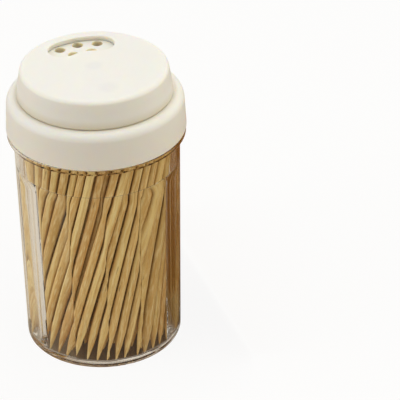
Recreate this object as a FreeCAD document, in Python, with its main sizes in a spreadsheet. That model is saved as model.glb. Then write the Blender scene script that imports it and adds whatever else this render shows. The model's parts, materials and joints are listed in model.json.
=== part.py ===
"""Turn-top toothpick dispenser: clear faceted jar, snap-on cap, turning dial and a jar full of picks.

Frame: millimetres, +Z up, origin at the centre of the jar's foot.
The cap's single hole lies towards -Y and its five small holes towards +Y.
The dial's window stands over the five small holes at rest.
"""
import FreeCAD, Part
import Sketcher
import math
import os
import random

# ---------------------------------------------------------------- driving sizes
# name, value in mm (or degrees, or a count), meaning
SIZES = [
    ("pick_length", 65.0, "toothpick, tip to tip"),
    ("pick_diameter", 2.1, "toothpick shaft"),
    ("pick_taper", 9.0, "length of each pointed end"),
    ("pick_sides", 6, "flats round a toothpick"),
    ("pick_play", 0.06, "air between neighbouring picks"),
    ("tip_play", 0.05, "air between a tip and the jar's floor"),
    ("ring_share", 0.88, "share of each ring of the bundle that picks fill"),
    ("ring_play", 0.1, "air between the bundle's rings"),
    ("bundle_twist_angle", 54.0, "turn of the bundle from feet to heads, degrees"),
    ("foot_scatter", 0.3, "random offset of the feet"),
    ("head_scatter", 1.0, "random offset of the heads"),
    ("bundle_count", 12, "sectors that the picks are sorted into"),
    ("foot_radius", 19.55, "jar's outer radius at the foot"),
    ("wall_draft", 0.8, "jar wall's opening angle, degrees"),
    ("floor_thickness", 1.3, "jar's floor"),
    ("foot_round", 0.8, "rounding of the foot's outer edge"),
    ("recess_depth", 0.3, "hollow under the foot"),
    ("foot_ring", 2.45, "width of the ring that the jar stands on"),
    ("facet_count", 14, "flat facets round the cavity"),
    ("facet_turn", 25.1, "direction of the first facet corner from +X, degrees"),
    ("corner_wall", 1.1, "wall at a facet corner"),
    ("collar_height", 7.5, "round bore between the facets and the flange"),
    ("ledge_step", 0.1, "step from the facet corners out to the round bore"),
    ("flange_setback", 0.15, "flange's edge in from the skirt's"),
    ("flange_thickness", 1.3, "ring that the cap sits on"),
    ("neck_wall", 0.95, "spigot inside the cap"),
    ("neck_height", 7.75, "spigot above the flange"),
    ("rim_chamfer", 0.35, "bevel of the spigot's rim"),
    ("rim_over_picks", 0.7, "rim above the tips of upright picks"),
    ("bead_height", 0.18, "snap bead standing out of the spigot"),
    ("bead_drop", 2.6, "snap bead's crest below the rim"),
    ("bead_spread", 0.7, "half the snap bead's width"),
    ("skirt_wall", 1.5, "skirt's wall at its foot"),
    ("cap_draft", 3.1, "skirt's taper, degrees"),
    ("cap_wall", 1.3, "roof over the spigot and wall of the plateau"),
    ("cap_seat_play", 0.05, "air between skirt and flange"),
    ("cap_rim_play", 0.3, "air between roof and spigot, and round the spigot"),
    ("shoulder_round", 2.2, "rounding of the skirt's shoulder"),
    ("catch_height", 0.08, "catch ring inside the skirt"),
    ("plateau_rise", 5.8, "plate above the shoulder"),
    ("plate_thickness", 1.6, "plate with the holes"),
    ("plateau_chamfer", 0.35, "bevel of the plate's rim"),
    ("single_hole_diameter", 4.8, "hole that lets several picks out"),
    ("single_hole_inset", 5.16, "its centre in from the plate's rim"),
    ("small_hole_diameter", 2.6, "hole that lets one pick out"),
    ("outer_row_inset", 2.96, "three small holes' centres in from the plate's rim"),
    ("outer_row_pitch", 20.7, "angle between them, degrees"),
    ("row_gap", 3.95, "from that row in to the row of two"),
    ("inner_row_pitch", 27.6, "angle between those two, degrees"),
    ("dial_setback", 2.45, "dial's lower edge in from the shoulder"),
    ("dial_draft", 9.3, "taper of the dial's side, degrees"),
    ("dial_wall", 1.3, "side wall"),
    ("dial_top_thickness", 1.2, "top plate"),
    ("dial_round", 1.1, "rounding of the dial's upper edge"),
    ("dial_plate_play", 0.1, "air between dial and plate"),
    ("dial_side_play", 0.3, "air round the plateau and above the shoulder"),
    ("window_width", 7.4, "window's width along a radius"),
    ("window_sweep", 48.6, "angle between the centres of its round ends, degrees"),
    ("post_radius", 1.9, "pivot post"),
    ("post_play", 0.08, "air round the post"),
    ("barb_height", 0.5, "catch standing out of the post"),
    ("barb_length", 1.8, "tapered end below the plate"),
    ("slot_width", 0.8, "slit that lets the post spring"),
    ("slot_depth", 3.0, "depth of that slit"),
]

# ---------------------------------------------------------------- derived levels and radii
# name, formula, meaning
DERIVED = [
    ("pick_floor", "sizes.floor_thickness + sizes.tip_play", "level of the picks' feet"),
    ("rim", "sizes.floor_thickness + sizes.pick_length + sizes.rim_over_picks", "spigot's rim"),
    ("seat", "derived.rim - sizes.neck_height", "top of the flange"),
    ("flange_foot", "derived.seat - sizes.flange_thickness", "underside of the flange"),
    ("ledge", "derived.flange_foot - sizes.collar_height", "top of the facets"),
    ("draft_slope", "tan(sizes.wall_draft * 1 deg)", "jar wall's widening per mm of height"),
    ("wall_at_flange", "sizes.foot_radius + derived.flange_foot * derived.draft_slope", "outer wall"),
    ("corner_at_floor", "sizes.foot_radius + sizes.floor_thickness * derived.draft_slope"
                        " - sizes.corner_wall", "facet corner's radius at the floor"),
    ("corner_at_ledge", "sizes.foot_radius + derived.ledge * derived.draft_slope"
                        " - sizes.corner_wall", "facet corner's radius at the ledge"),
    ("bore_radius", "derived.corner_at_ledge + sizes.ledge_step", "round bore of collar and spigot"),
    ("apothem_at_floor", "derived.corner_at_floor * cos(180 deg / sizes.facet_count)",
     "a facet's distance from the axis at the floor"),
    ("recess_radius", "sizes.foot_radius - sizes.foot_ring", "mouth of the hollow under the foot"),
    ("neck_radius", "derived.bore_radius + sizes.neck_wall", "outside of the spigot"),
    ("bead_radius", "derived.neck_radius + sizes.bead_height", "crest of the snap bead"),
    ("bead_level", "derived.rim - sizes.bead_drop", "height of that crest"),
    ("cap_foot", "derived.seat + sizes.cap_seat_play", "skirt's lower edge"),
    ("roof_under", "derived.rim + sizes.cap_rim_play", "inside of the roof over the spigot"),
    ("shoulder", "derived.roof_under + sizes.cap_wall", "shoulder's level"),
    ("skirt_bore", "derived.neck_radius + sizes.cap_rim_play", "inside of the skirt"),
    ("cap_radius", "derived.skirt_bore + sizes.skirt_wall", "skirt's outer radius at its foot"),
    ("flange_radius", "derived.cap_radius - sizes.flange_setback", "ring that the cap sits on"),
    ("shoulder_radius", "derived.cap_radius - (derived.shoulder - derived.cap_foot)"
                        " * tan(sizes.cap_draft * 1 deg)", "skirt's radius at the shoulder"),
    ("catch_radius", "derived.skirt_bore - sizes.catch_height", "inside of the catch ring"),
    ("catch_level", "derived.bead_level - 2 * sizes.bead_spread", "catch ring, under the bead"),
    ("plate_top", "derived.shoulder + sizes.plateau_rise", "upper face of the plate"),
    ("plate_under", "derived.plate_top - sizes.plate_thickness", "lower face of the plate"),
    ("dial_foot", "derived.shoulder + sizes.dial_side_play", "dial's lower edge"),
    ("ceiling", "derived.plate_top + sizes.dial_plate_play", "inside of the dial's top"),
    ("top", "derived.ceiling + sizes.dial_top_thickness", "the dispenser's height"),
    ("dial_slope", "tan(sizes.dial_draft * 1 deg)", "dial's narrowing per mm of height"),
    ("dial_radius", "derived.shoulder_radius - sizes.dial_setback", "dial at its lower edge"),
    ("dial_top_radius", "derived.dial_radius - (derived.top - derived.dial_foot)"
                        " * derived.dial_slope", "dial's radius at the top"),
    ("dial_bore_foot", "derived.dial_radius - sizes.dial_wall", "inside of the dial's lower edge"),
    ("dial_bore_top", "derived.dial_bore_foot - (derived.ceiling - derived.dial_foot)"
                      " * derived.dial_slope", "inside of the dial at its ceiling"),
    ("plateau_foot_radius", "derived.dial_bore_foot - sizes.dial_side_play", "plateau at the shoulder"),
    ("plateau_top_radius", "derived.dial_bore_top - sizes.dial_side_play", "plateau at the plate"),
    ("single_hole_reach", "derived.plateau_top_radius - sizes.single_hole_inset",
     "single hole's distance from the pivot, and the window's"),
    ("outer_row_reach", "derived.plateau_top_radius - sizes.outer_row_inset", "three holes from the pivot"),
    ("inner_row_reach", "derived.outer_row_reach - sizes.row_gap", "two holes from the pivot"),
    ("hole_radius", "sizes.post_radius + sizes.post_play", "pivot hole"),
    ("barb_level", "derived.plate_under - sizes.dial_plate_play", "catch face of the barb"),
    ("barb_radius", "sizes.post_radius + sizes.barb_height", "widest part of the barb"),
    ("post_end", "derived.barb_level - sizes.barb_length", "lower end of the post"),
]


def write_sheet(doc):
    """Put the driving sizes into a spreadsheet, one alias each."""
    sheet = doc.addObject("Spreadsheet::Sheet", "sizes")
    for row, (name, value, meaning) in enumerate(SIZES, start=1):
        sheet.set(f"A{row}", name)
        sheet.set(f"B{row}", str(value))
        sheet.set(f"C{row}", meaning)
        sheet.setAlias(f"B{row}", name)
    doc.recompute()
    return sheet


def write_derived(doc):
    """Hold the sizes that follow from the driving ones, each bound by its formula."""
    derived = doc.addObject("App::VarSet", "derived")
    for name, formula, meaning in DERIVED:
        derived.addProperty("App::PropertyFloat", name, "Levels and radii", meaning)
        derived.setExpression(name, formula)
    doc.recompute()
    return derived


def new_body(doc, label):
    body = doc.addObject("PartDesign::Body", label)
    body.Label = label
    return body


def origin_item(body, role):
    """The plane or axis of a body's own origin that has this role."""
    return next(item for item in body.Origin.OriginFeatures if item.Role == role)


def new_sketch(body, name, role="XY_Plane", level=None):
    """An empty sketch on an origin plane, lifted to a level given as a formula."""
    sketch = body.newObject("Sketcher::SketchObject", name)
    sketch.AttachmentSupport = [(origin_item(body, role), "")]
    sketch.MapMode = "FlatFace"
    if level:
        sketch.setExpression("AttachmentOffset.Base.z", level)
    return sketch


def bind(sketch, kind, formula, *places):
    """Add one dimension to a sketch and tie it to a formula."""
    number = sketch.addConstraint(Sketcher.Constraint(kind, *places, 1.0))
    sketch.setExpression(f"Constraints[{number}]", formula)


def closed_outline(sketch, corners):
    """Draw a closed outline of straight lines, each corner placed by two formulas."""
    count = len(corners)
    start = [FreeCAD.Vector(math.cos(2 * math.pi * k / count), math.sin(2 * math.pi * k / count), 0)
             for k in range(count)]
    for k in range(count):
        sketch.addGeometry(Part.LineSegment(start[k], start[(k + 1) % count]), False)
    for k in range(count):
        sketch.addConstraint(Sketcher.Constraint("Coincident", k, 2, (k + 1) % count, 1))
    for k, (across, along) in enumerate(corners):
        bind(sketch, "DistanceX", across, -1, 1, k, 1)
        bind(sketch, "DistanceY", along, -1, 1, k, 1)


def circle_at(sketch, radius, across, along):
    """Draw a circle whose radius and centre are formulas."""
    number = sketch.addGeometry(Part.Circle(FreeCAD.Vector(1, 1, 0), FreeCAD.Vector(0, 0, 1), 1), False)
    bind(sketch, "Radius", radius, number)
    bind(sketch, "DistanceX", across, -1, 1, number, 3)
    bind(sketch, "DistanceY", along, -1, 1, number, 3)


def revolve(doc, body, name, corners):
    """Turn an outline of (radius, level) corners round the Z axis."""
    sketch = new_sketch(body, f"{name}_outline", "XZ_Plane")
    closed_outline(sketch, corners)
    turned = body.newObject("PartDesign::Revolution", name)
    turned.Profile = sketch
    turned.ReferenceAxis = (sketch, ["V_Axis"])
    turned.Angle = 360
    doc.recompute()
    return turned


def pocket(doc, body, name, sketch, depth=None, upward=False):
    """Cut a sketch into the body, through all or to a depth given as a formula."""
    cut = body.newObject("PartDesign::Pocket", name)
    cut.Profile = sketch
    cut.Type = 0 if depth else 1
    if depth:
        cut.setExpression("Length", depth)
    cut.Reversed = upward
    doc.recompute()
    return cut


def ring_edges(shape, radius, level):
    """Names of the round edges about the Z axis with this radius at this level."""
    near = 0.01
    return [f"Edge{number}" for number, edge in enumerate(shape.Edges, start=1)
            if isinstance(edge.Curve, Part.Circle)
            and abs(edge.Curve.Radius - radius) < near
            and abs(edge.Curve.Center.z - level) < near
            and math.hypot(edge.Curve.Center.x, edge.Curve.Center.y) < near]


def bevel_ring(doc, body, name, feature, radius, level, size):
    """Bevel the ring edge found at a radius and level by a size from the sheet."""
    bevel = body.newObject("PartDesign::Chamfer", name)
    bevel.Base = (feature, ring_edges(feature.Shape, radius, level))
    bevel.setExpression("Size", size)
    doc.recompute()
    return bevel


def rounded_corner(radius, level, size, draft, steps, side="-"):
    """Corners along the rounding between a drafted outer wall and a flat face, all as formulas.

    They run from the wall to the face. The face is the upper one for side "-", the lower one for "+".
    """
    turn = f"(90 - {draft})"
    corners = []
    for number in range(steps + 1):
        angle = f"({draft} + {turn} * {number} / {steps}) * 1 deg"
        corners.append((f"{radius} - {size} * (tan({turn} / 2 * 1 deg) - cos({angle}))",
                        f"{level} {side} {size} * (1 - sin({angle}))"))
    return corners


# ---------------------------------------------------------------- the three moulded pieces
def facet_corners(radius):
    """Corners of the many-sided cavity at a radius given as a formula."""
    corners = []
    for number in range(SIZE.facet_count):
        angle = f"(sizes.facet_turn + {number} * 360 / sizes.facet_count) * 1 deg"
        corners.append((f"{radius} * cos({angle})", f"{radius} * sin({angle})"))
    return corners


def make_jar(doc, derived):
    """Clear jar: round outside, flat facets inside, flange and spigot for the cap."""
    body = new_body(doc, "jar")
    spread = "sizes.bead_spread"
    outside = revolve(doc, body, "jar_outside", [
        ("0", "sizes.recess_depth"),
        ("derived.recess_radius - sizes.recess_depth", "sizes.recess_depth"),
        ("derived.recess_radius", "0"),
        *reversed(rounded_corner("sizes.foot_radius", "0", "sizes.foot_round", "sizes.wall_draft", 2, "+")),
        ("derived.wall_at_flange", "derived.flange_foot"),
        ("derived.flange_radius", "derived.flange_foot"),
        ("derived.flange_radius", "derived.seat"),
        ("derived.neck_radius", "derived.seat"),
        ("derived.neck_radius", f"derived.bead_level - {spread}"),
        ("derived.bead_radius", "derived.bead_level"),
        ("derived.neck_radius", f"derived.bead_level + {spread}"),
        ("derived.neck_radius", "derived.rim"),
        ("0", "derived.rim"),
    ])
    rim = bevel_ring(doc, body, "jar_rim_bevel", outside,
                     derived.neck_radius, derived.rim, "sizes.rim_chamfer")

    bore = new_sketch(body, "bore_circle", level="derived.rim")
    circle_at(bore, "derived.bore_radius", "0", "0")
    collar = pocket(doc, body, "jar_bore", bore, "derived.rim - derived.ledge")

    upper = new_sketch(body, "facets_at_ledge", level="derived.ledge")
    closed_outline(upper, facet_corners("derived.corner_at_ledge"))
    lower = new_sketch(body, "facets_at_floor", level="sizes.floor_thickness")
    closed_outline(lower, facet_corners("derived.corner_at_floor"))
    facets = body.newObject("PartDesign::SubtractiveLoft", "jar_facets")
    facets.Profile = lower
    facets.Sections = [upper]
    facets.Ruled = True
    doc.recompute()
    check_removed(rim, collar, facets)
    return body


def make_cap(doc, derived):
    """White cap: skirt over the spigot, rounded shoulder, and a plateau that carries the hole plate."""
    body = new_body(doc, "cap")
    spread = "sizes.bead_spread"
    shell = revolve(doc, body, "cap_shell", [
        ("derived.skirt_bore", "derived.cap_foot"),
        ("derived.cap_radius", "derived.cap_foot"),
        *rounded_corner("derived.shoulder_radius", "derived.shoulder", "sizes.shoulder_round",
                        "sizes.cap_draft", 3),
        ("derived.plateau_foot_radius", "derived.shoulder"),
        ("derived.plateau_top_radius", "derived.plate_top"),
        ("derived.hole_radius", "derived.plate_top"),
        ("derived.hole_radius", "derived.plate_under"),
        ("derived.plateau_top_radius - sizes.cap_wall", "derived.plate_under"),
        ("derived.plateau_foot_radius - sizes.cap_wall", "derived.roof_under"),
        ("derived.skirt_bore", "derived.roof_under"),
        ("derived.skirt_bore", f"derived.catch_level + {spread}"),
        ("derived.catch_radius", "derived.catch_level"),
        ("derived.skirt_bore", f"derived.catch_level - {spread}"),
    ])
    plateau = bevel_ring(doc, body, "cap_plateau_bevel", shell,
                         derived.plateau_top_radius, derived.plate_top, "sizes.plateau_chamfer")

    single = new_sketch(body, "single_hole_circle", level="derived.plate_top")
    circle_at(single, "sizes.single_hole_diameter / 2", "0", "-derived.single_hole_reach")
    single_hole = pocket(doc, body, "single_hole", single)

    outer_row = hole_row(doc, body, "outer_row", 3)
    inner_row = hole_row(doc, body, "inner_row", 2)
    check_removed(plateau, single_hole, outer_row, inner_row)
    return body


def hole_row(doc, body, name, count):
    """A row of small holes on an arc about the pivot, centred towards +Y."""
    reach = f"derived.{name}_reach"
    sweep = f"{count - 1} * sizes.{name}_pitch"
    sketch = new_sketch(body, f"{name}_circle", level="derived.plate_top")
    circle_at(sketch, "sizes.small_hole_diameter / 2",
              f"{reach} * sin({sweep} / 2 * 1 deg)", f"{reach} * cos({sweep} / 2 * 1 deg)")
    first = pocket(doc, body, f"{name}_first", sketch)
    row = body.newObject("PartDesign::PolarPattern", name)
    row.Originals = [first]
    row.Axis = (origin_item(body, "Z_Axis"), [""])
    row.setExpression("Angle", sweep)
    row.Occurrences = count
    body.Tip = row
    doc.recompute()
    return row


def make_dial(doc, derived):
    """White dial: shallow cup over the plateau, kidney window, and a slit pivot post with a barb."""
    body = new_body(doc, "dial")
    cup = revolve(doc, body, "dial_cup", [
        ("derived.dial_bore_foot", "derived.dial_foot"),
        ("derived.dial_radius", "derived.dial_foot"),
        *rounded_corner("derived.dial_top_radius", "derived.top", "sizes.dial_round", "sizes.dial_draft", 3),
        ("0", "derived.top"),
        ("0", "derived.post_end"),
        ("sizes.post_radius - sizes.barb_height", "derived.post_end"),
        ("derived.barb_radius", "derived.barb_level"),
        ("sizes.post_radius", "derived.barb_level"),
        ("sizes.post_radius", "derived.ceiling"),
        ("derived.dial_bore_top", "derived.ceiling"),
    ])

    kidney = new_sketch(body, "window_outline", level="derived.top")
    kidney_outline(kidney, derived.single_hole_reach)
    window = pocket(doc, body, "window", kidney, "1.5 * sizes.dial_top_thickness")

    slit = new_sketch(body, "slit_outline", level="derived.post_end")
    half = "sizes.slot_width / 2"
    reach = "derived.barb_radius + sizes.barb_height"
    closed_outline(slit, [(f"-({half})", f"-({reach})"), (half, f"-({reach})"),
                          (half, reach), (f"-({half})", reach)])
    slot = pocket(doc, body, "post_slit", slit, "sizes.slot_depth", upward=True)
    check_removed(cup, window, slot)
    return body


def kidney_outline(sketch, reach):
    """A slot bent about the pivot, centred towards +Y, with round ends, as far out as the single hole."""
    half_width = SIZE.window_width / 2
    half_sweep = math.radians(SIZE.window_sweep / 2)
    middle = math.pi / 2
    upright = FreeCAD.Vector(0, 0, 1)
    centre = FreeCAD.Vector(0, 0, 0)
    ends = [FreeCAD.Vector(reach * math.cos(middle + side * half_sweep),
                           reach * math.sin(middle + side * half_sweep), 0) for side in (-1, 1)]
    outer = Part.ArcOfCircle(Part.Circle(centre, upright, reach + half_width),
                             middle - half_sweep, middle + half_sweep)
    left = Part.ArcOfCircle(Part.Circle(ends[1], upright, half_width),
                            middle + half_sweep, middle + half_sweep + math.pi)
    inner = Part.ArcOfCircle(Part.Circle(centre, upright, reach - half_width),
                             middle - half_sweep, middle + half_sweep)
    right = Part.ArcOfCircle(Part.Circle(ends[0], upright, half_width),
                             middle - half_sweep - math.pi, middle - half_sweep)
    sketch.addGeometry([outer, left, inner, right], False)
    for first, first_end, second, second_end in ((0, 2, 1, 1), (1, 2, 2, 2), (2, 1, 3, 1), (3, 2, 0, 1)):
        sketch.addConstraint(Sketcher.Constraint("Tangent", first, first_end, second, second_end))
    for arc in (0, 2):
        sketch.addConstraint(Sketcher.Constraint("Coincident", arc, 3, -1, 1))
    bind(sketch, "Radius", "derived.single_hole_reach + sizes.window_width / 2", 0)
    bind(sketch, "Radius", "derived.single_hole_reach - sizes.window_width / 2", 2)
    for arc, side in ((1, "-"), (3, "")):
        bind(sketch, "DistanceX", f"{side}derived.single_hole_reach * sin(sizes.window_sweep / 2 * 1 deg)",
             -1, 1, arc, 3)


def check_removed(*features):
    """Stop if a cut took nothing away from the feature before it."""
    for before, after in zip(features, features[1:]):
        if after.Shape.Volume >= before.Shape.Volume - 1e-3:
            raise RuntimeError(f"{after.Name} removed nothing")


# ---------------------------------------------------------------- the toothpicks
def nearest_share(feet_gap, heads_gap, low, high):
    """How far up two picks come closest, as a share of their length."""
    grow = [heads_gap[axis] - feet_gap[axis] for axis in (0, 1)]
    square = grow[0] ** 2 + grow[1] ** 2
    if square < 1e-9:
        return (low + high) / 2
    share = -(feet_gap[0] * grow[0] + feet_gap[1] * grow[1]) / square
    return min(high, max(low, share))


def push(pick, share, move):
    """Shift a pick sideways at a share of its length, turning it about its far end."""
    foot, head = pick
    weight = (1 - share) ** 2 + share ** 2
    for axis in (0, 1):
        foot[axis] += move[axis] * (1 - share) / weight
        head[axis] += move[axis] * share / weight


def part_pair(one, other, low, high):
    """Move two picks apart if their shafts are too close, and say by how much they were."""
    feet = [one[0][axis] - other[0][axis] for axis in (0, 1)]
    heads = [one[1][axis] - other[1][axis] for axis in (0, 1)]
    share = nearest_share(feet, heads, low, high)
    gap = [feet[axis] + share * (heads[axis] - feet[axis]) for axis in (0, 1)]
    distance = math.hypot(*gap) or 1e-6
    lean = [(pick[1][axis] - pick[0][axis]) / SIZE.pick_length for axis in (0, 1) for pick in (one, other)]
    along = (gap[0] * (lean[0] + lean[1]) + gap[1] * (lean[2] + lean[3])) / 2 / distance
    short = SIZE.pick_diameter / math.sqrt(1 - along ** 2) + SIZE.pick_play - distance
    if short > 0:
        move = [value / distance * short / 2 for value in gap]
        push(one, share, move)
        push(other, share, [-value for value in move])
    return max(short, 0)


def keep_inside(pick, facets, derived, shares):
    """Push a pick back from the facets at the ends of its shaft and at its tips."""
    worst = 0
    for share, body_radius in shares:
        level = share * SIZE.pick_length
        for facing in facets:
            place = sum((pick[0][axis] + share * (pick[1][axis] - pick[0][axis])) * facing[axis]
                        for axis in (0, 1))
            room = derived.apothem_at_floor + level * derived.draft_slope - body_radius - SIZE.pick_play
            over = place - room
            if over > 0:
                push(pick, share, [-value * over for value in facing])
                worst = max(worst, over)
    return worst


def ringed_picks(derived):
    """Foot and head of every pick before settling: rings from the facets inwards, turned as one bundle."""
    draw = random.Random(7)
    half_twist = math.radians(SIZE.bundle_twist_angle) / 2
    radius = derived.apothem_at_floor - SIZE.pick_diameter / 2 - SIZE.pick_play
    picks = []
    while radius > 0:
        count = max(1, int(SIZE.ring_share * 2 * math.pi * radius / SIZE.pick_diameter))
        start = draw.uniform(0, 2 * math.pi)
        for number in range(count):
            angle = start + 2 * math.pi * number / count
            ends = []
            for turn, scatter in ((-half_twist, SIZE.foot_scatter), (half_twist, SIZE.head_scatter)):
                ends.append([radius * math.cos(angle + turn) + draw.gauss(0, scatter),
                             radius * math.sin(angle + turn) + draw.gauss(0, scatter)])
            picks.append(tuple(ends))
        radius -= SIZE.pick_diameter + SIZE.ring_play
    return picks


def settle_picks(derived):
    """Place the picks: a twisted bundle in rings, pushed apart until nothing touches."""
    step = 2 * math.pi / SIZE.facet_count
    first = math.radians(SIZE.facet_turn) + step / 2
    facets = [(math.cos(first + step * k), math.sin(first + step * k)) for k in range(SIZE.facet_count)]
    picks = ringed_picks(derived)
    low = SIZE.pick_taper / SIZE.pick_length
    high = 1 - low
    tip = SIZE.pick_diameter / 8
    shaft = SIZE.pick_diameter / 2 * 1.03
    shares = ((0, tip), (low, shaft), (high, shaft), (1, tip))
    pairs = []
    for sweep in range(600):
        if sweep % 10 == 0:
            pairs = [(one, other) for place, one in enumerate(picks) for other in picks[:place]
                     if closest(one, other) < 1.6 * SIZE.pick_diameter]
        worst = max(part_pair(one, other, low, high) for one, other in pairs)
        worst = max(worst, *(keep_inside(pick, facets, derived, shares) for pick in picks))
        if worst < SIZE.pick_play / 5:
            break
    print(f"{len(picks)} picks, settled in {sweep + 1} sweeps to {worst:.3f} mm")
    return picks


def closest(one, other):
    """Smallest distance between two picks' axes, seen from above."""
    feet = [one[0][axis] - other[0][axis] for axis in (0, 1)]
    heads = [one[1][axis] - other[1][axis] for axis in (0, 1)]
    share = nearest_share(feet, heads, 0, 1)
    return math.hypot(*(feet[axis] + share * (heads[axis] - feet[axis]) for axis in (0, 1)))


def pointed_pick():
    """One toothpick along +Z with its lower tip at the origin: flat-sided shaft, two points."""
    radius = SIZE.pick_diameter / 2
    shoulders = (SIZE.pick_taper, SIZE.pick_length - SIZE.pick_taper)
    rings = []
    for level in shoulders:
        rings.append([FreeCAD.Vector(radius * math.cos(2 * math.pi * k / SIZE.pick_sides),
                                     radius * math.sin(2 * math.pi * k / SIZE.pick_sides), level)
                      for k in range(SIZE.pick_sides)])
    foot = FreeCAD.Vector(0, 0, 0)
    head = FreeCAD.Vector(0, 0, SIZE.pick_length)
    faces = []
    for k in range(SIZE.pick_sides):
        after = (k + 1) % SIZE.pick_sides
        lower, lower_after = rings[0][k], rings[0][after]
        upper, upper_after = rings[1][k], rings[1][after]
        for corners in ((foot, lower_after, lower), (lower, lower_after, upper_after, upper),
                        (upper, upper_after, head)):
            faces.append(Part.Face(Part.makePolygon([*corners, corners[0]])))
    solid = Part.Solid(Part.Shell(faces))
    if solid.Volume < 0:
        solid.reverse()
    return solid


def make_picks(doc, derived):
    """Stand the picks in the jar and sort them into nodes: by sector, the outer ones and the core."""
    template = pointed_pick()
    draw = random.Random(11)
    groups = {}
    step = 360 / SIZE.bundle_count
    border = derived.apothem_at_floor - 1.7 * SIZE.pick_diameter
    for foot, head in settle_picks(derived):
        run = FreeCAD.Vector(head[0] - foot[0], head[1] - foot[1], 0)
        direction = FreeCAD.Vector(run.x, run.y, SIZE.pick_length).normalize()
        turn = FreeCAD.Rotation(FreeCAD.Vector(0, 0, 1), direction)
        roll = FreeCAD.Rotation(FreeCAD.Vector(0, 0, 1), draw.uniform(0, 360))
        pick = template.copy()
        pick.Placement = FreeCAD.Placement(FreeCAD.Vector(foot[0], foot[1], derived.pick_floor), turn * roll)
        angle = (math.degrees(math.atan2(foot[1], foot[0])) - SIZE.facet_turn) % 360
        layer = "outer" if math.hypot(*foot) > border else "inner"
        groups.setdefault(f"toothpicks_{layer}_{int(angle // step) + 1:02d}", []).append(pick)
    made = []
    for label in sorted(groups):
        bundle = doc.addObject("Part::Feature", label)
        bundle.Label = label
        bundle.Shape = Part.makeCompound(groups[label])
        bundle.Placement = FreeCAD.Placement()
        made.append(bundle)
    doc.recompute()
    return made


# ---------------------------------------------------------------- build, check and write
class Sizes:
    """The sheet's values as plain attributes, counts as whole numbers."""

    def __init__(self, sheet):
        for name, value, _ in SIZES:
            setattr(self, name, type(value)(sheet.get(name)))


def check_document(doc, parts):
    """Stop unless every object recomputed and every piece is a valid shape."""
    for item in doc.Objects:
        if "Invalid" in item.State or "Error" in item.State:
            raise RuntimeError(f"{item.Name} failed: {item.State}")
    for part in parts:
        if part.Shape.isNull() or not part.Shape.isValid():
            raise RuntimeError(f"{part.Label} has no valid shape")


def write_parts(parts):
    os.makedirs("parts", exist_ok=True)
    for part in parts:
        part.Shape.exportStep(f"parts/{part.Label}.step")


DOC = FreeCAD.newDocument("toothpick_dispenser")
SHEET = write_sheet(DOC)
SIZE = Sizes(SHEET)
LEVELS = write_derived(DOC)
PARTS = [make_jar(DOC, LEVELS), make_cap(DOC, LEVELS), make_dial(DOC, LEVELS)]
PARTS += make_picks(DOC, LEVELS)
check_document(DOC, PARTS)
write_parts(PARTS)
print(f"{len(PARTS)} nodes, {sum(len(part.Shape.Solids) for part in PARTS)} solids, {LEVELS.top:.2f} mm high")
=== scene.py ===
"""Looks of the toothpick dispenser: clear faceted jar, white snap cap with its dial, and the bamboo picks.

Metres, +Z up, in the part's own frame: the jar stands on z = 0 and the dial's window lies towards +Y.
"""
import bpy
import json
import math
import random
from mathutils import Matrix, Quaternion, Vector

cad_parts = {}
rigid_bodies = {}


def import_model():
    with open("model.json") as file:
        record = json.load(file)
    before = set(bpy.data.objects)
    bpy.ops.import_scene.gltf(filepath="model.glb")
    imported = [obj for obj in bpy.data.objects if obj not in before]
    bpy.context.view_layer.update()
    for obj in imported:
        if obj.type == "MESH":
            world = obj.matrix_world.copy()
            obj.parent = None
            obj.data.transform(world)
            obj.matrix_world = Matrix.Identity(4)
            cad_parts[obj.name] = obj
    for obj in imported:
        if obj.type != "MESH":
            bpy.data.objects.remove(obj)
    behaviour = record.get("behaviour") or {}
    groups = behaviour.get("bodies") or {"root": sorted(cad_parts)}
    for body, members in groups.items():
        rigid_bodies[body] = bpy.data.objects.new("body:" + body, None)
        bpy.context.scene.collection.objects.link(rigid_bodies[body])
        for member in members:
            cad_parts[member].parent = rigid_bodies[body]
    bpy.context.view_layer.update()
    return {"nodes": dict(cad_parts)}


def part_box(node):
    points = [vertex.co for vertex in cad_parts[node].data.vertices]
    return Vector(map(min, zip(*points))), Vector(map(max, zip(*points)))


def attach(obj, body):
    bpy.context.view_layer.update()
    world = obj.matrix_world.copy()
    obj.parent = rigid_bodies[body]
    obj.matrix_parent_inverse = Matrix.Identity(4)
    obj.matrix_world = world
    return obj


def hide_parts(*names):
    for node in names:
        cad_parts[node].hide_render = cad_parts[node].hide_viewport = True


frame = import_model()

# ---------------------------------------------------------------- sizes
MM = 0.001
FACETS = 14
SIDES = 14 * FACETS  # steps round a turned piece, so that each facet gets the same number
NEAR = 0.01 * MM
WELD = NEAR / 10
SOFTEST_EDGE = math.radians(20)  # more than a step of a rounding, less than a corner between facets

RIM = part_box("jar")[1].z
FLANGE_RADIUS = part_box("jar")[1].x
CAP_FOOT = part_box("cap")[0].z
PLATE_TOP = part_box("cap")[1].z
CAP_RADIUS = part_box("cap")[1].x
POST_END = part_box("dial")[0].z
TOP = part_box("dial")[1].z
DIAL_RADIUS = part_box("dial")[1].x

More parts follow.
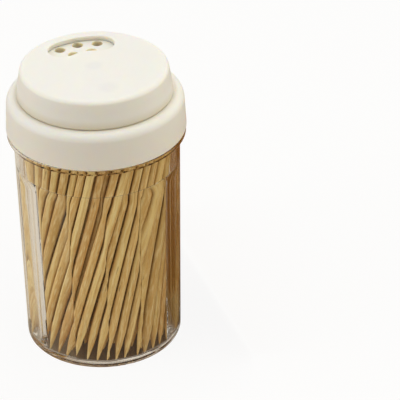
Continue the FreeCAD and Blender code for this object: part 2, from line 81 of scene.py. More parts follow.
# jar
FOOT_RADIUS = 19.55 * MM
FOOT_ROUND = 0.8 * MM
WALL_SLOPE = math.tan(math.radians(0.8))
FLOOR_THICKNESS = 1.3 * MM
RECESS_DEPTH = 0.3 * MM
RECESS_RADIUS = FOOT_RADIUS - 2.45 * MM
FACET_TURN = math.radians(25.1 - 90)  # a circle is drawn from +Y on, the first corner is told from +X
CORNER_WALL = 1.1 * MM
SEAT = RIM - 7.75 * MM
FLANGE_FOOT = SEAT - 1.3 * MM
LEDGE = FLANGE_FOOT - 7.5 * MM
RUN_OUT = 2.8 * MM  # height over which the facets ease into the round bore
FLOOR_FILLET = 0.9 * MM  # where the facets meet the jar's floor
FILLET_STEPS = 5
FACET_TOP = LEDGE - RUN_OUT
WALL_AT_FLANGE = FOOT_RADIUS + FLANGE_FOOT * WALL_SLOPE
CORNER_AT_FLOOR = FOOT_RADIUS + FLOOR_THICKNESS * WALL_SLOPE - CORNER_WALL
CORNER_AT_TOP = FOOT_RADIUS + FACET_TOP * WALL_SLOPE - CORNER_WALL
STEP_RADIUS = FOOT_RADIUS + LEDGE * WALL_SLOPE - CORNER_WALL
BORE_RADIUS = STEP_RADIUS + 0.1 * MM
NECK_RADIUS = BORE_RADIUS + 0.95 * MM
BEAD_LEVEL = RIM - 2.6 * MM
BEAD_HEIGHT = 0.18 * MM
BEAD_SPREAD = 0.7 * MM

# cap
CAP_PLAY = 0.3 * MM
CAP_WALL = 1.3 * MM
ROOF_UNDER = RIM + CAP_PLAY
SHOULDER = ROOF_UNDER + CAP_WALL
SHOULDER_RADIUS = CAP_RADIUS - (SHOULDER - CAP_FOOT) * math.tan(math.radians(3.1))
SHOULDER_ROUND = 2.2 * MM
SKIRT_BORE = NECK_RADIUS + CAP_PLAY
CATCH_LEVEL = BEAD_LEVEL - 2 * BEAD_SPREAD
CATCH_HEIGHT = 0.08 * MM
PLATE_THICKNESS = 1.6 * MM
PLATE_UNDER = PLATE_TOP - PLATE_THICKNESS
CAP_SHADE_FOOT = CAP_FOOT - 2 * MM  # so far down that the skirt keeps only the last trace of the painted low shade

# dial
DIAL_SLOPE = math.tan(math.radians(9.3))
DIAL_WALL = 1.3 * MM
DIAL_THICKNESS = 1.2 * MM
DIAL_ROUND = 1.1 * MM
DIAL_FOOT = SHOULDER + 0.03 * MM
DIAL_REST = SHOULDER + CAP_PLAY  # foot of the plain dial, from which its draft is measured
CEILING = TOP - DIAL_THICKNESS
DIAL_CEILING = PLATE_TOP + 0.02 * MM
DIAL_TOP_RADIUS = DIAL_RADIUS - (TOP - DIAL_REST) * DIAL_SLOPE
DIAL_MIDDLE_RADIUS = 4.0 * MM  # the flat face that closes the top inside its last ring
DIAL_BORE_FOOT = DIAL_RADIUS - DIAL_WALL
DIAL_BORE_TOP = DIAL_BORE_FOOT - (CEILING - DIAL_REST) * DIAL_SLOPE
PLATEAU_FOOT_RADIUS = DIAL_BORE_FOOT - CAP_PLAY
PLATEAU_TOP_RADIUS = DIAL_BORE_TOP - CAP_PLAY
POST_RADIUS = 1.9 * MM
POST_HOLE_RADIUS = 1.98 * MM
BARB_RADIUS = 2.4 * MM
BARB_LEVEL = PLATE_UNDER - 0.1 * MM
SLIT_WIDTH = 0.8 * MM
SLIT_DEPTH = 3.0 * MM

# holes and window
SINGLE_HOLE_RADIUS = 2.4 * MM
SINGLE_HOLE_REACH = PLATEAU_TOP_RADIUS - 5.16 * MM
SMALL_HOLE_RADIUS = 1.3 * MM
OUTER_ROW_REACH = PLATEAU_TOP_RADIUS - 2.96 * MM
INNER_ROW_REACH = OUTER_ROW_REACH - 3.95 * MM
OUTER_ROW_ANGLES = (69.3, 90.0, 110.7)
INNER_ROW_ANGLES = (76.2, 103.8)
HOLES = [(SINGLE_HOLE_REACH, -90.0, SINGLE_HOLE_RADIUS),
         *((OUTER_ROW_REACH, degrees, SMALL_HOLE_RADIUS) for degrees in OUTER_ROW_ANGLES),
         *((INNER_ROW_REACH, degrees, SMALL_HOLE_RADIUS) for degrees in INNER_ROW_ANGLES)]
WINDOW_HALF_WIDTH = 3.7 * MM
WINDOW_SWEEP = math.radians(48.6)
MOUTH_ROUND = 0.25 * MM  # rounding at the mouths of holes and window

# toothpicks
PICK_RADIUS = 1.03 * MM
PICK_LENGTH = 65.0 * MM
PICK_TAPER = 9.0 * MM
PICK_SIDES = 8
PICK_PROFILE = ((0.0, 0.14), (0.14, 0.34), (0.5, 0.72), (1.0, 1.0))  # shares of the taper and of the radius
PICK_SMOOTHEST = math.radians(60)
THINNEST_PICK = 0.93
PICK_SEED = 23

# finishes, as linear colours
WHITE = (1, 1, 1, 1)
CAP_PALE, CAP_DEEP = (0.9, 0.897, 0.88, 1), (0.88, 0.875, 0.85, 1)
DIAL_PALE, DIAL_DEEP = (0.91, 0.908, 0.893, 1), (0.89, 0.886, 0.866, 1)
PAINTED_BORE_LIGHT = (1.13, 0.97, 0.74, 1)  # painted light in the cap's bores, warm as with light through their walls; it and the painted shades multiply the plastic's own colour
# painted shade: faint darker marks on the dial's top over its post and over the single hole below
SHOW_THROUGH_SHADE_TINT = (0.955, 0.96, 0.985, 1)
SHOW_THROUGH_SHADE_RADIUS = 2.0 * MM
SEAM_REACH = 3.0 * MM
SEAM_SHADE = (0.88, 0.835, 0.74, 1)
LOW_SHADE = (0.84, 0.8, 0.72, 1)
LOW_SHADE_HEIGHT = 2.2 * MM
PICK_GAP_REACH = 0.9 * MM
PICK_GAP_SHADE = (0.34, 0.21, 0.10, 1)

# grain of the picks: waves per metre across and along
FIBRES = (1600, 1600, 45)
STREAKS = (500, 500, 22)
PORES = (2600, 2600, 260)
FLECKS = (2600, 2600, 300)

# studio
FLOOR_SIZE = 6.0
FLOOR_DROP = 0.02 * MM  # keeps the floor clear of the jar's foot
FLOOR_SEEN = (0.85, 0.84, 0.82, 1.0)
FLOOR_AS_LIGHT = (0.62, 0.55, 0.46, 1.0)
FLOOR_MIRRORED_IN_FRONT, FLOOR_MIRRORED_BEHIND = (0.16, 0.11, 0.07, 1.0), (0.66, 0.6, 0.5, 1.0)
FLOOR_GLOW = 0.9
THROUGH_LEFT, THROUGH_RIGHT = (0.74, 0.68, 0.59, 1.0), (0.22, 0.11, 0.02, 1.0)
BOTH_WALLS = 3.5  # a ray that has crossed both walls of the jar went in or out of plastic four times
CARD_PLACE = (0.031, 0.009, 0.027)
CARD_HEIGHT, CARD_WIDTH = 0.052, 0.072
CARD_BROWN = (0.42, 0.19, 0.02, 1.0)
FILL_IN_FRONT, FILL_BEHIND = (0.28, 0.25, 0.185, 1.0), (0.68, 0.65, 0.60, 1.0)
FILL_RIGHT = (1.6, 1.5, 1.26, 1.0)
MIRRORED_IN_FRONT, MIRRORED_RIGHT = (0.2, 0.16, 0.12, 1), (0.18, 0.09, 0.015, 1)
LAMPS = [("overhead", (0, -0.17, 0.72), (0.8, 0.8), 2.0, (0.91, 0.955, 1.0)),
         ("left_softbox", (-0.75, 0.05, 0.3), (0.5, 0.6), 1.6, (1.0, 0.985, 0.95))]
CLEAR_BOUNCES = 40  # light is caught many times between the jar's wall and its facets
DIFFUSE_BOUNCES = 16

# camera
CAMERA_AIM = Vector((23.59, -8.24, 37.09)) * MM
CAMERA_DISTANCE = 578.8 * MM
CAMERA_AZIMUTH = math.radians(-19.256)
CAMERA_ELEVATION = math.radians(32.297)
CAMERA_ROLL = math.radians(-0.81)
CAMERA_LENS = 209.4


# ---------------------------------------------------------------- working on one object at a time
def take(obj):
    """Select one object alone and make it active."""
    bpy.ops.object.select_all(action="DESELECT")
    obj.select_set(True)
    bpy.context.view_layer.objects.active = obj


def edit(obj, select="DESELECT"):
    """Open one object in edit mode with everything or nothing selected."""
    take(obj)
    bpy.ops.object.mode_set(mode="EDIT")
    bpy.ops.mesh.select_all(action=select)


def leave_edit():
    bpy.ops.object.mode_set(mode="OBJECT")


def settle(obj):
    """Put an object's place and turn into its mesh."""
    take(obj)
    bpy.ops.object.transform_apply(location=True, rotation=True, scale=True)


def outward(obj):
    """Weld a shape and turn its faces outwards."""
    edit(obj, "SELECT")
    bpy.ops.mesh.remove_doubles(threshold=WELD)
    bpy.ops.mesh.normals_make_consistent(inside=False)
    leave_edit()


def select_where(obj, kind, test):
    """In edit mode, select the verts, edges or faces whose middle passes a test."""
    bpy.ops.mesh.select_all(action="DESELECT")
    bpy.ops.mesh.select_mode(type={"vertices": "VERT", "edges": "EDGE", "polygons": "FACE"}[kind])
    leave_edit()
    mesh = obj.data
    for item in getattr(mesh, kind):
        if kind == "vertices":
            item.select = test(item.co)
        else:
            middle = sum((mesh.vertices[v].co for v in item.vertices), Vector()) / len(item.vertices)
            item.select = test(middle)
    bpy.ops.object.mode_set(mode="EDIT")


def finish_shell(obj):
    """Weld and turn the faces outwards, then shade smooth apart from the sharp edges."""
    outward(obj)
    take(obj)
    bpy.ops.object.shade_smooth_by_angle(angle=SOFTEST_EDGE, keep_sharp_edges=False)
    modifier = obj.modifiers.new("even_normals", "WEIGHTED_NORMAL")
    modifier.keep_sharp = True
    modifier.mode = "FACE_AREA"
    modifier.weight = 50
    bpy.ops.object.modifier_apply(modifier=modifier.name)


def cut(obj, cutter):
    """Cut one shape out of another and remove the cutter."""
    modifier = obj.modifiers.new("cut", "BOOLEAN")
    modifier.operation = "DIFFERENCE"
    modifier.solver = "EXACT"
    modifier.object = cutter
    take(obj)
    bpy.ops.object.modifier_apply(modifier=modifier.name)
    bpy.data.objects.remove(cutter, do_unlink=True)


# ---------------------------------------------------------------- turned shapes
def soft_outline(corners, steps):
    """Points of an outline of (radius, level, rounding) corners, each rounding drawn as an arc."""
    points = []
    for number, (radius, level, rounding) in enumerate(corners):
        corner = Vector((radius, level))
        if not rounding:
            points.append(corner)
            continue
        before = (Vector(corners[number - 1][:2]) - corner).normalized()
        after = (Vector(corners[number + 1][:2]) - corner).normalized()
        half = before.angle(after) / 2
        middle = corner + (before + after).normalized() * rounding / math.sin(half)
        first = corner + before * rounding / math.tan(half) - middle
        last = corner + after * rounding / math.tan(half) - middle
        turn = math.atan2(first.x * last.y - first.y * last.x, first.dot(last))
        for step in range(steps + 1):
            points.append(middle + Matrix.Rotation(turn * step / steps, 2) @ first)
    return points


def turned(name, corners, fill=(), steps=6, sides=SIDES, turn=0.0):
    """Turn an outline round the Z axis: a ring is extruded and widened from point to point.

    The rings named in fill, "start" and "end", are closed with a face.
    """
    points = soft_outline(corners, steps)
    radius, level = points[0]
    bpy.ops.object.select_all(action="DESELECT")
    bpy.ops.mesh.primitive_circle_add(vertices=sides, radius=radius, location=(0, 0, level),
                                      rotation=(0, 0, turn))
    obj = bpy.context.object
    obj.name = obj.data.name = name
    settle(obj)
    edit(obj, "SELECT")
    bpy.ops.mesh.select_mode(type="EDGE")
    if "start" in fill:
        bpy.ops.mesh.edge_face_add()
    for next_radius, next_level in points[1:]:
        draw_on(next_radius / radius, next_level - level, next_level)
        radius, level = next_radius, next_level
    if "end" in fill:
        bpy.ops.mesh.edge_face_add()
    leave_edit()
    return obj


def draw_on(widen, rise, level):
    """Extrude the selected ring by a rise and widen it about the Z axis."""
    bpy.ops.mesh.extrude_edges_move(TRANSFORM_OT_translate={"value": (0, 0, rise)})
    bpy.ops.transform.resize(value=(widen, widen, 1), center_override=(0, 0, level))


def polar(reach, degrees, level=0.0):
    """A point at a distance and direction from the axis."""
    angle = math.radians(degrees)
    return Vector((reach * math.cos(angle), reach * math.sin(angle), level))


def hole_cutter(reach, degrees, radius, low, high, low_mouth=True):
    """A cutter for a round hole through a plate between two levels, with one or both mouths softened."""
    flare = 1.0 * MM
    lift = flare * math.tan(math.radians(15))
    ease = 0.2 * MOUTH_ROUND
    cutter = turned("hole_cutter", [
        *([(radius + flare, low - lift, 0), (radius, low + ease, MOUTH_ROUND)] if low_mouth
          else [(radius, low - lift, 0)]),
        (radius, high - ease, MOUTH_ROUND),
        (radius + flare, high + lift, 0),
    ], fill=("start", "end"), steps=5, sides=48)
    cutter.location = polar(reach, degrees)
    settle(cutter)
    return cutter


def window_cutter():
    """The bent slot of the dial's window: half a round cutter, spun round the pivot and mirrored."""
    cutter = hole_cutter(SINGLE_HOLE_REACH, 90, WINDOW_HALF_WIDTH, DIAL_CEILING, TOP, low_mouth=False)
    edit(cutter, "SELECT")
    bpy.ops.mesh.bisect(plane_co=(0, 0, 0), plane_no=(-1, 0, 0), clear_outer=True)
    leave_edit()
    cutter.rotation_euler.z = -WINDOW_SWEEP / 2
    settle(cutter)
    edit(cutter)
    seam = Vector((math.cos(WINDOW_SWEEP / 2), -math.sin(WINDOW_SWEEP / 2)))
    select_where(cutter, "edges", lambda middle: abs(middle.xy.dot(seam)) < NEAR)
    bpy.ops.mesh.spin(steps=12, angle=-WINDOW_SWEEP / 2, center=(0, 0, 0), axis=(0, 0, 1))
    leave_edit()
    mirror = cutter.modifiers.new("other_half", "MIRROR")
    mirror.merge_threshold = NEAR
    take(cutter)
    bpy.ops.object.modifier_apply(modifier=mirror.name)
    outward(cutter)
    return cutter


# ---------------------------------------------------------------- the moulded pieces
def make_jar():
    """Clear jar: smooth round outside with flange and spigot, flat facets inside up to the ledge."""
    jar = turned("jar_clear", [
        (RECESS_RADIUS - 4 * RECESS_DEPTH, RECESS_DEPTH, 0),
        (RECESS_RADIUS - RECESS_DEPTH, RECESS_DEPTH, 0.2 * MM),
        (RECESS_RADIUS, 0, 0.15 * MM),
        (FOOT_RADIUS, 0, FOOT_ROUND),
        (WALL_AT_FLANGE, FLANGE_FOOT, 0.12 * MM),
        (FLANGE_RADIUS, FLANGE_FOOT, 0.12 * MM),
        (FLANGE_RADIUS, SEAT, 0.25 * MM),
        (NECK_RADIUS, SEAT, 0.2 * MM),
        (NECK_RADIUS, BEAD_LEVEL - BEAD_SPREAD, 0),
        (NECK_RADIUS + BEAD_HEIGHT, BEAD_LEVEL, 0.4 * MM),
        (NECK_RADIUS, BEAD_LEVEL + BEAD_SPREAD, 0),
        (NECK_RADIUS, RIM, 0.35 * MM),
        (BORE_RADIUS, RIM, 0.25 * MM),
        (BORE_RADIUS, LEDGE, 0),
        (STEP_RADIUS, LEDGE, 0),
    ], fill=("start",), turn=FACET_TURN)
    bpy.ops.object.select_all(action="DESELECT")
    bpy.ops.mesh.primitive_circle_add(vertices=FACETS, radius=CORNER_AT_TOP, location=(0, 0, FACET_TOP),
                                      rotation=(0, 0, FACET_TURN))
    cavity = bpy.context.object
    settle(cavity)
    edit(cavity, "SELECT")
    bpy.ops.mesh.select_mode(type="EDGE")
    bpy.ops.mesh.subdivide(number_cuts=SIDES // FACETS - 1)
    corner, level = CORNER_AT_TOP, FACET_TOP
    above = FLOOR_THICKNESS + FLOOR_FILLET
    wall = CORNER_AT_FLOOR + FLOOR_FILLET * WALL_SLOPE
    for step in range(FILLET_STEPS + 1):
        angle = math.radians(90 * step / FILLET_STEPS)
        next_corner = wall - FLOOR_FILLET * (1 - math.cos(angle))
        next_level = above - FLOOR_FILLET * math.sin(angle)
        draw_on(next_corner / corner, next_level - level, next_level)
        corner, level = next_corner, next_level
    bpy.ops.mesh.edge_face_add()
    leave_edit()
    take(jar)
    cavity.select_set(True)
    bpy.ops.object.join()
    edit(jar)
    bpy.ops.mesh.select_mode(type="EDGE")
    bpy.ops.mesh.select_non_manifold(extend=False)
    bpy.ops.mesh.bridge_edge_loops()
    leave_edit()
    finish_shell(jar)
    return jar


def make_cap():
    """White cap: skirt with catch ring, rounded shoulder, plateau and the plate with its holes."""
    cap = turned("cap_white", [
        (SKIRT_BORE - CATCH_HEIGHT, CATCH_LEVEL, 0),
        (SKIRT_BORE, CATCH_LEVEL - BEAD_SPREAD, 0),
        (SKIRT_BORE, CAP_FOOT, 0.2 * MM),
        (CAP_RADIUS, CAP_FOOT, 0.3 * MM),
        (SHOULDER_RADIUS, SHOULDER, SHOULDER_ROUND),
        (PLATEAU_FOOT_RADIUS, SHOULDER, 0.3 * MM),
        (PLATEAU_TOP_RADIUS, PLATE_TOP, 0.35 * MM),
        (POST_HOLE_RADIUS, PLATE_TOP, 0.12 * MM),
        (POST_HOLE_RADIUS, PLATE_UNDER, 0.12 * MM),
        (PLATEAU_TOP_RADIUS - CAP_WALL, PLATE_UNDER, 0.3 * MM),
        (PLATEAU_FOOT_RADIUS - CAP_WALL, ROOF_UNDER, 0.3 * MM),
        (SKIRT_BORE, ROOF_UNDER, 0.3 * MM),
        (SKIRT_BORE, CATCH_LEVEL + BEAD_SPREAD, 0),
        (SKIRT_BORE - CATCH_HEIGHT, CATCH_LEVEL, 0),
    ])
    outward(cap)
    for reach, degrees, radius in HOLES:
        cutter = hole_cutter(reach, degrees, radius, PLATE_UNDER, PLATE_TOP)
        outward(cutter)
        cut(cap, cutter)
    finish_shell(cap)
    return cap


def make_dial():
    """White dial: shallow cup with a bent window, and the slit post with its barb."""
    dial = turned("dial_white", [
        (POST_RADIUS - (BARB_RADIUS - POST_RADIUS), POST_END, 0),
        (BARB_RADIUS, BARB_LEVEL, 0.1 * MM),
        (POST_RADIUS, BARB_LEVEL, 0),
        (POST_RADIUS, DIAL_CEILING, 0.15 * MM),
        (DIAL_BORE_TOP, DIAL_CEILING, 0.25 * MM),
        (DIAL_BORE_FOOT, DIAL_FOOT, 0.15 * MM),
        (DIAL_RADIUS, DIAL_FOOT, 0.45 * MM),
        (DIAL_TOP_RADIUS, TOP, DIAL_ROUND),
        (DIAL_MIDDLE_RADIUS, TOP, 0),
    ], fill=("start", "end"))
    outward(dial)
    cut(dial, window_cutter())
    bpy.ops.object.select_all(action="DESELECT")
    bpy.ops.mesh.primitive_cube_add(size=1, location=(0, 0, POST_END + SLIT_DEPTH / 2 - 0.5 * MM))
    slit = bpy.context.object
    slit.scale = (SLIT_WIDTH, 2 * BARB_RADIUS + MM, SLIT_DEPTH + MM)
    settle(slit)
    cut(dial, slit)
    finish_shell(dial)
    return dial


# ---------------------------------------------------------------- the toothpicks
def make_pick():
    """One pick along +Z from its lower tip: blunt points and long, slightly full tapers."""
    lower = [(PICK_RADIUS * share, PICK_TAPER * along, 0) for along, share in PICK_PROFILE]
    upper = [(radius, PICK_LENGTH - level, 0) for radius, level, _ in reversed(lower)]
    pick = turned("pick_template", lower + upper, fill=("start", "end"), sides=PICK_SIDES)
    outward(pick)
    take(pick)
    bpy.ops.object.shade_smooth_by_angle(angle=PICK_SMOOTHEST, keep_sharp_edges=False)
    return pick


def pick_ends(node):
    """Foot and head of every toothpick in a CAD node, from a welded copy split into loose parts."""
    copy = frame["nodes"][node].copy()
    copy.data = copy.data.copy()
    bpy.context.scene.collection.objects.link(copy)
    before = set(bpy.data.objects)
    edit(copy, "SELECT")
    bpy.ops.mesh.remove_doubles(threshold=WELD)
    bpy.ops.mesh.separate(type="LOOSE")
    leave_edit()
    ends = []
    for part in [copy, *(set(bpy.data.objects) - before)]:
        points = sorted((vertex.co.copy() for vertex in part.data.vertices), key=lambda point: point.z)
        ends.append((points[0], points[-1]))
        bpy.data.objects.remove(part, do_unlink=True)
    return sorted(ends, key=lambda pair: (round(pair[0].x, 6), round(pair[0].y, 6)))


def store(obj, name, kind, values):
    """Keep one value per vertex on a mesh, for its material to read."""
    field = "vector" if kind == "FLOAT_VECTOR" else "value"
    attribute = obj.data.attributes.new(name, kind, "POINT")
    for item, value in zip(attribute.data, values):
        setattr(item, field, value)


def place_pick(template, foot, head, draw):
    """A copy of the pick from foot to head, with its own roll, thickness, tone and grain."""
    pick = template.copy()
    pick.data = template.data.copy()
    bpy.context.scene.collection.objects.link(pick)
    girth = draw.uniform(THINNEST_PICK, 1.0)
    shift = Vector((draw.uniform(0, 1), draw.uniform(0, 1), draw.uniform(0, 1)))
    own = [vertex.co + shift for vertex in pick.data.vertices]
    store(pick, "pick_place", "FLOAT_VECTOR", own)
    store(pick, "pick_tone", "FLOAT", [draw.random()] * len(own))
    pick.rotation_mode = "QUATERNION"
    lean = (head - foot).to_track_quat("Z", "Y")
    pick.rotation_quaternion = lean @ Quaternion((0, 0, 1), draw.uniform(0, 2 * math.pi))
    pick.scale = (girth, girth, (head - foot).length / PICK_LENGTH)
    pick.location = foot
    return pick


def make_picks():
    """A bundle of picks for each CAD node of toothpicks."""
    draw = random.Random(PICK_SEED)
    template = make_pick()
    bundles = []
    for node in sorted(name for name in frame["nodes"] if name.startswith("toothpicks_")):
        picks = [place_pick(template, foot, head, draw) for foot, head in pick_ends(node)]
        bpy.ops.object.select_all(action="DESELECT")
        for pick in picks:
            pick.select_set(True)
        bundle = picks[0]
        bpy.context.view_layer.objects.active = bundle
        bpy.ops.object.join()
        bundle.name = bundle.data.name = node.replace("toothpicks", "bamboo_picks")
        settle(bundle)
        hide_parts(node)
        bundles.append(bundle)
    bpy.data.objects.remove(template, do_unlink=True)
    return bundles


# ---------------------------------------------------------------- material nodes
def add(tree, kind, inputs=None, **settings):
    """Add a node with its settings; inputs are socket values or sockets to link from."""
    node = tree.nodes.new(kind)
    for name, value in settings.items():
        setattr(node, name, value)
    for socket, value in (inputs or {}).items():
        connect(tree, value, node.inputs[socket])
    return node


def connect(tree, value, socket):
    """Feed a socket with another socket or with a plain value."""
    if isinstance(value, bpy.types.NodeSocket):
        tree.links.new(value, socket)
    else:
        socket.default_value = value


def math_of(tree, operation, first, second=0.0, clamp=False):
    return add(tree, "ShaderNodeMath", {0: first, 1: second}, operation=operation,
               use_clamp=clamp).outputs[0]


def mixed(tree, factor, first, second, blend="MIX"):
    """Blend two colours."""
    return add(tree, "ShaderNodeMix", {0: factor, 6: first, 7: second},
               data_type="RGBA", blend_type=blend).outputs[2]


def ranged(tree, value, low, high, to_low, to_high):
    """Stretch a value from one range to another, held at its ends."""
    return add(tree, "ShaderNodeMapRange",
               {"Value": value, "From Min": low, "From Max": high, "To Min": to_low, "To Max": to_high},
               clamp=True).outputs[0]


def noise(tree, place, scale, detail=2.0, roughness=0.5):
    return add(tree, "ShaderNodeTexNoise", {"Vector": place, "Scale": scale, "Detail": detail,
                                            "Roughness": roughness}).outputs["Fac"]


def stretched(tree, place, scale):
    """A place scaled along each axis, for grain that runs one way."""
    return add(tree, "ShaderNodeMapping", {"Vector": place, "Scale": scale}).outputs[0]


def own_place(tree):
    return add(tree, "ShaderNodeTexCoord").outputs["Object"]


def colour(red, green, blue):
    """A colour written as it is seen on screen, 0 to 255, for a socket."""
    parts = [value / 255 for value in (red, green, blue)]
    return [part / 12.92 if part <= 0.04045 else ((part + 0.055) / 1.055) ** 2.4 for part in parts] + [1.0]


def new_material(name, **values):
    """A material with its Principled shader; values are sockets that are the same all over."""
    material = bpy.data.materials.new(name)
    material.use_nodes = True
    shader = material.node_tree.nodes["Principled BSDF"]
    for socket, value in values.items():
        shader.inputs[socket.replace("_", " ").title().replace("Ior", "IOR")].default_value = value
    return material, material.node_tree, shader


def moulded_grain():
    """Group: the faint unevenness of moulded plastic, as a mottle mask and a height."""
    group = bpy.data.node_groups.new("moulded_grain", "ShaderNodeTree")
    face = group.interface
    face.new_socket("Mottle Size", in_out="INPUT", socket_type="NodeSocketFloat").default_value = 150
    face.new_socket("Grain Size", in_out="INPUT", socket_type="NodeSocketFloat").default_value = 4000
    face.new_socket("Mottle", in_out="OUTPUT", socket_type="NodeSocketFloat")
    face.new_socket("Grain", in_out="OUTPUT", socket_type="NodeSocketFloat")
    given = group.nodes.new("NodeGroupInput")
    place = own_place(group)
    mottle = noise(group, place, given.outputs["Mottle Size"], 3.0)
    grain = noise(group, place, given.outputs["Grain Size"], 2.0)
    add(group, "NodeGroupOutput", {"Mottle": mottle, "Grain": grain})
    return group


def use_group(tree, group, **values):
    """Place a group in a material with its own values."""
    node = tree.nodes.new("ShaderNodeGroup")
    node.node_tree = group
    for name, value in values.items():
        connect(tree, value, node.inputs[name.replace("_", " ").title()])
    return node.outputs


def openness(tree, reach):
    """1 in the open, falling towards 0 in seams and bores narrower than the reach."""
    return add(tree, "ShaderNodeAmbientOcclusion", {"Distance": reach}, samples=8).outputs["AO"]


def round_spots(tree, spots, full, gone):
    """1 over round spots of (middle, radius) in the piece's own XY plane, falling to 0 outside.

    full and gone are the shares of a spot's radius at which it starts to fall and has fallen.
    """
    flat = add(tree, "ShaderNodeVectorMath", {0: own_place(tree), 1: (1, 1, 0)},
               operation="MULTIPLY").outputs[0]
    covered = 0.0
    for middle, radius in spots:
        away = add(tree, "ShaderNodeVectorMath", {0: flat, 1: middle},
                   operation="DISTANCE").outputs["Value"]
        spot = ranged(tree, away, full * radius, gone * radius, 1.0, 0.0)
        covered = math_of(tree, "MAXIMUM", covered, spot)
    return covered


def white_plastic(name, grain, pale, deep, spots, full, gone, painted_spot_tint, foot):
    """Satin white plastic that lets light through, with painted shade in seams, a little darker and warmer.

    The round spots have a painted tint of their own: faint painted shade on the dial over its post and
    single hole, and painted light in the cap's bores, warm as with the light that comes through their
    walls. Just above the level of the foot it has painted shade and is darker.
    """
    material, tree, shader = new_material(
        name, subsurface_weight=1.0, subsurface_scale=1.2 * MM, ior=1.49)
    shader.subsurface_method = "RANDOM_WALK"
    shader.inputs["Subsurface Radius"].default_value = (1.0, 0.82, 0.58)
    marks = use_group(tree, grain, mottle_size=150.0, grain_size=3500.0)
    tone = mixed(tree, marks["Mottle"], pale, deep)
    # painted shade, darker and warmer, in seams and bores that the ambient occlusion finds closed in
    open_share = ranged(tree, openness(tree, SEAM_REACH), 0.5, 0.98, 0.0, 1.0)
    shade = mixed(tree, open_share, SEAM_SHADE, WHITE)
    # round spots: painted light in the cap's bores, painted shade over the dial's post and single hole
    shade = mixed(tree, round_spots(tree, spots, full, gone), shade, painted_spot_tint)
    # painted shade, darker just above the foot
    height = add(tree, "ShaderNodeSeparateXYZ", {"Vector": own_place(tree)}).outputs["Z"]
    clear_of_foot = ranged(tree, height, foot, foot + LOW_SHADE_HEIGHT, 0.0, 1.0)
    shade = mixed(tree, 1.0, shade, mixed(tree, clear_of_foot, LOW_SHADE, WHITE), "MULTIPLY")
    connect(tree, mixed(tree, 1.0, tone, shade, "MULTIPLY"), shader.inputs["Base Color"])
    connect(tree, ranged(tree, marks["Mottle"], 0.3, 0.7, 0.34, 0.46), shader.inputs["Roughness"])
    bump = add(tree, "ShaderNodeBump", {"Height": marks["Grain"], "Strength": 0.12, "Distance": 0.02 * MM})
    connect(tree, bump.outputs[0], shader.inputs["Normal"])
    return material


def clear_plastic(name, grain):
    """Clear moulded plastic with faint flow waves and handling haze."""
    material, tree, shader = new_material(
        name, base_color=(0.965, 0.955, 0.93, 1.0), transmission_weight=1.0, ior=1.57,
        specular_tint=(0.5, 0.5, 0.5, 1.0))
    marks = use_group(tree, grain, mottle_size=60.0, grain_size=900.0)
    connect(tree, ranged(tree, marks["Mottle"], 0.45, 0.75, 0.0, 0.01), shader.inputs["Roughness"])
    bump = add(tree, "ShaderNodeBump", {"Height": marks["Mottle"], "Strength": 0.15, "Distance": 0.15 * MM})
    connect(tree, bump.outputs[0], shader.inputs["Normal"])
    return material


def bamboo(name):
    """Split bamboo: a tone of its own for each pick, fibres, short dark pores and shade between picks."""
    material, tree, shader = new_material(name, ior=1.45)
    place = add(tree, "ShaderNodeAttribute", attribute_name="pick_place").outputs["Vector"]
    tone = add(tree, "ShaderNodeAttribute", attribute_name="pick_tone").outputs["Fac"]
    ramp = add(tree, "ShaderNodeValToRGB", {"Fac": tone})
    stops = [(0.0, colour(232, 190, 126)), (0.2, colour(250, 222, 152)), (0.45, colour(255, 234, 166)),
             (0.7, colour(240, 213, 142)), (0.85, colour(224, 200, 137)), (1.0, colour(230, 190, 126))]
    for position, _ in stops[1:-1]:
        ramp.color_ramp.elements.new(position)
    for element, (position, value) in zip(ramp.color_ramp.elements, stops):
        element.position, element.color = position, value
    fibres = noise(tree, stretched(tree, place, FIBRES), 1.0, 4.0, 0.6)
    streaks = noise(tree, stretched(tree, place, STREAKS), 1.0, 2.0)
    pores = noise(tree, stretched(tree, place, PORES), 1.0, 1.0)
    flecks = noise(tree, stretched(tree, place, FLECKS), 1.0, 2.0)
    wood = mixed(tree, ranged(tree, fibres, 0.38, 0.62, 0.0, 0.75), ramp.outputs[0], colour(214, 168, 98))
    wood = mixed(tree, ranged(tree, streaks, 0.46, 0.66, 0.0, 0.55), wood, colour(216, 168, 96))
    wood = mixed(tree, ranged(tree, flecks, 0.46, 0.66, 0.0, 0.6), wood, colour(255, 238, 184))
    wood = mixed(tree, ranged(tree, pores, 0.71, 0.78, 0.0, 0.6), wood, colour(104, 74, 38))
    open_share = ranged(tree, openness(tree, PICK_GAP_REACH), 0.2, 0.75, 0.0, 1.0)
    shade = mixed(tree, open_share, PICK_GAP_SHADE, WHITE)
    connect(tree, mixed(tree, 1.0, wood, shade, "MULTIPLY"), shader.inputs["Base Color"])
    connect(tree, ranged(tree, fibres, 0.3, 0.7, 0.62, 0.45), shader.inputs["Roughness"])
    bump = add(tree, "ShaderNodeBump", {"Height": fibres, "Strength": 0.5, "Distance": 0.08 * MM})
    connect(tree, bump.outputs[0], shader.inputs["Normal"])
    return material


def seen_through(tree, path, share):
    """1 for a ray that has crossed both walls of the jar, share for one that only went into a wall."""
    crossed = math_of(tree, "GREATER_THAN", path["Transmission Depth"], BOTH_WALLS)
    return math_of(tree, "MULTIPLY", path["Is Transmission Ray"], math_of(tree, "MAXIMUM", crossed, share))


def beyond_jar(tree, side):
    """What shows through the jar: pale and warm on the left, brown on the right."""
    return mixed(tree, side, THROUGH_LEFT, THROUGH_RIGHT)


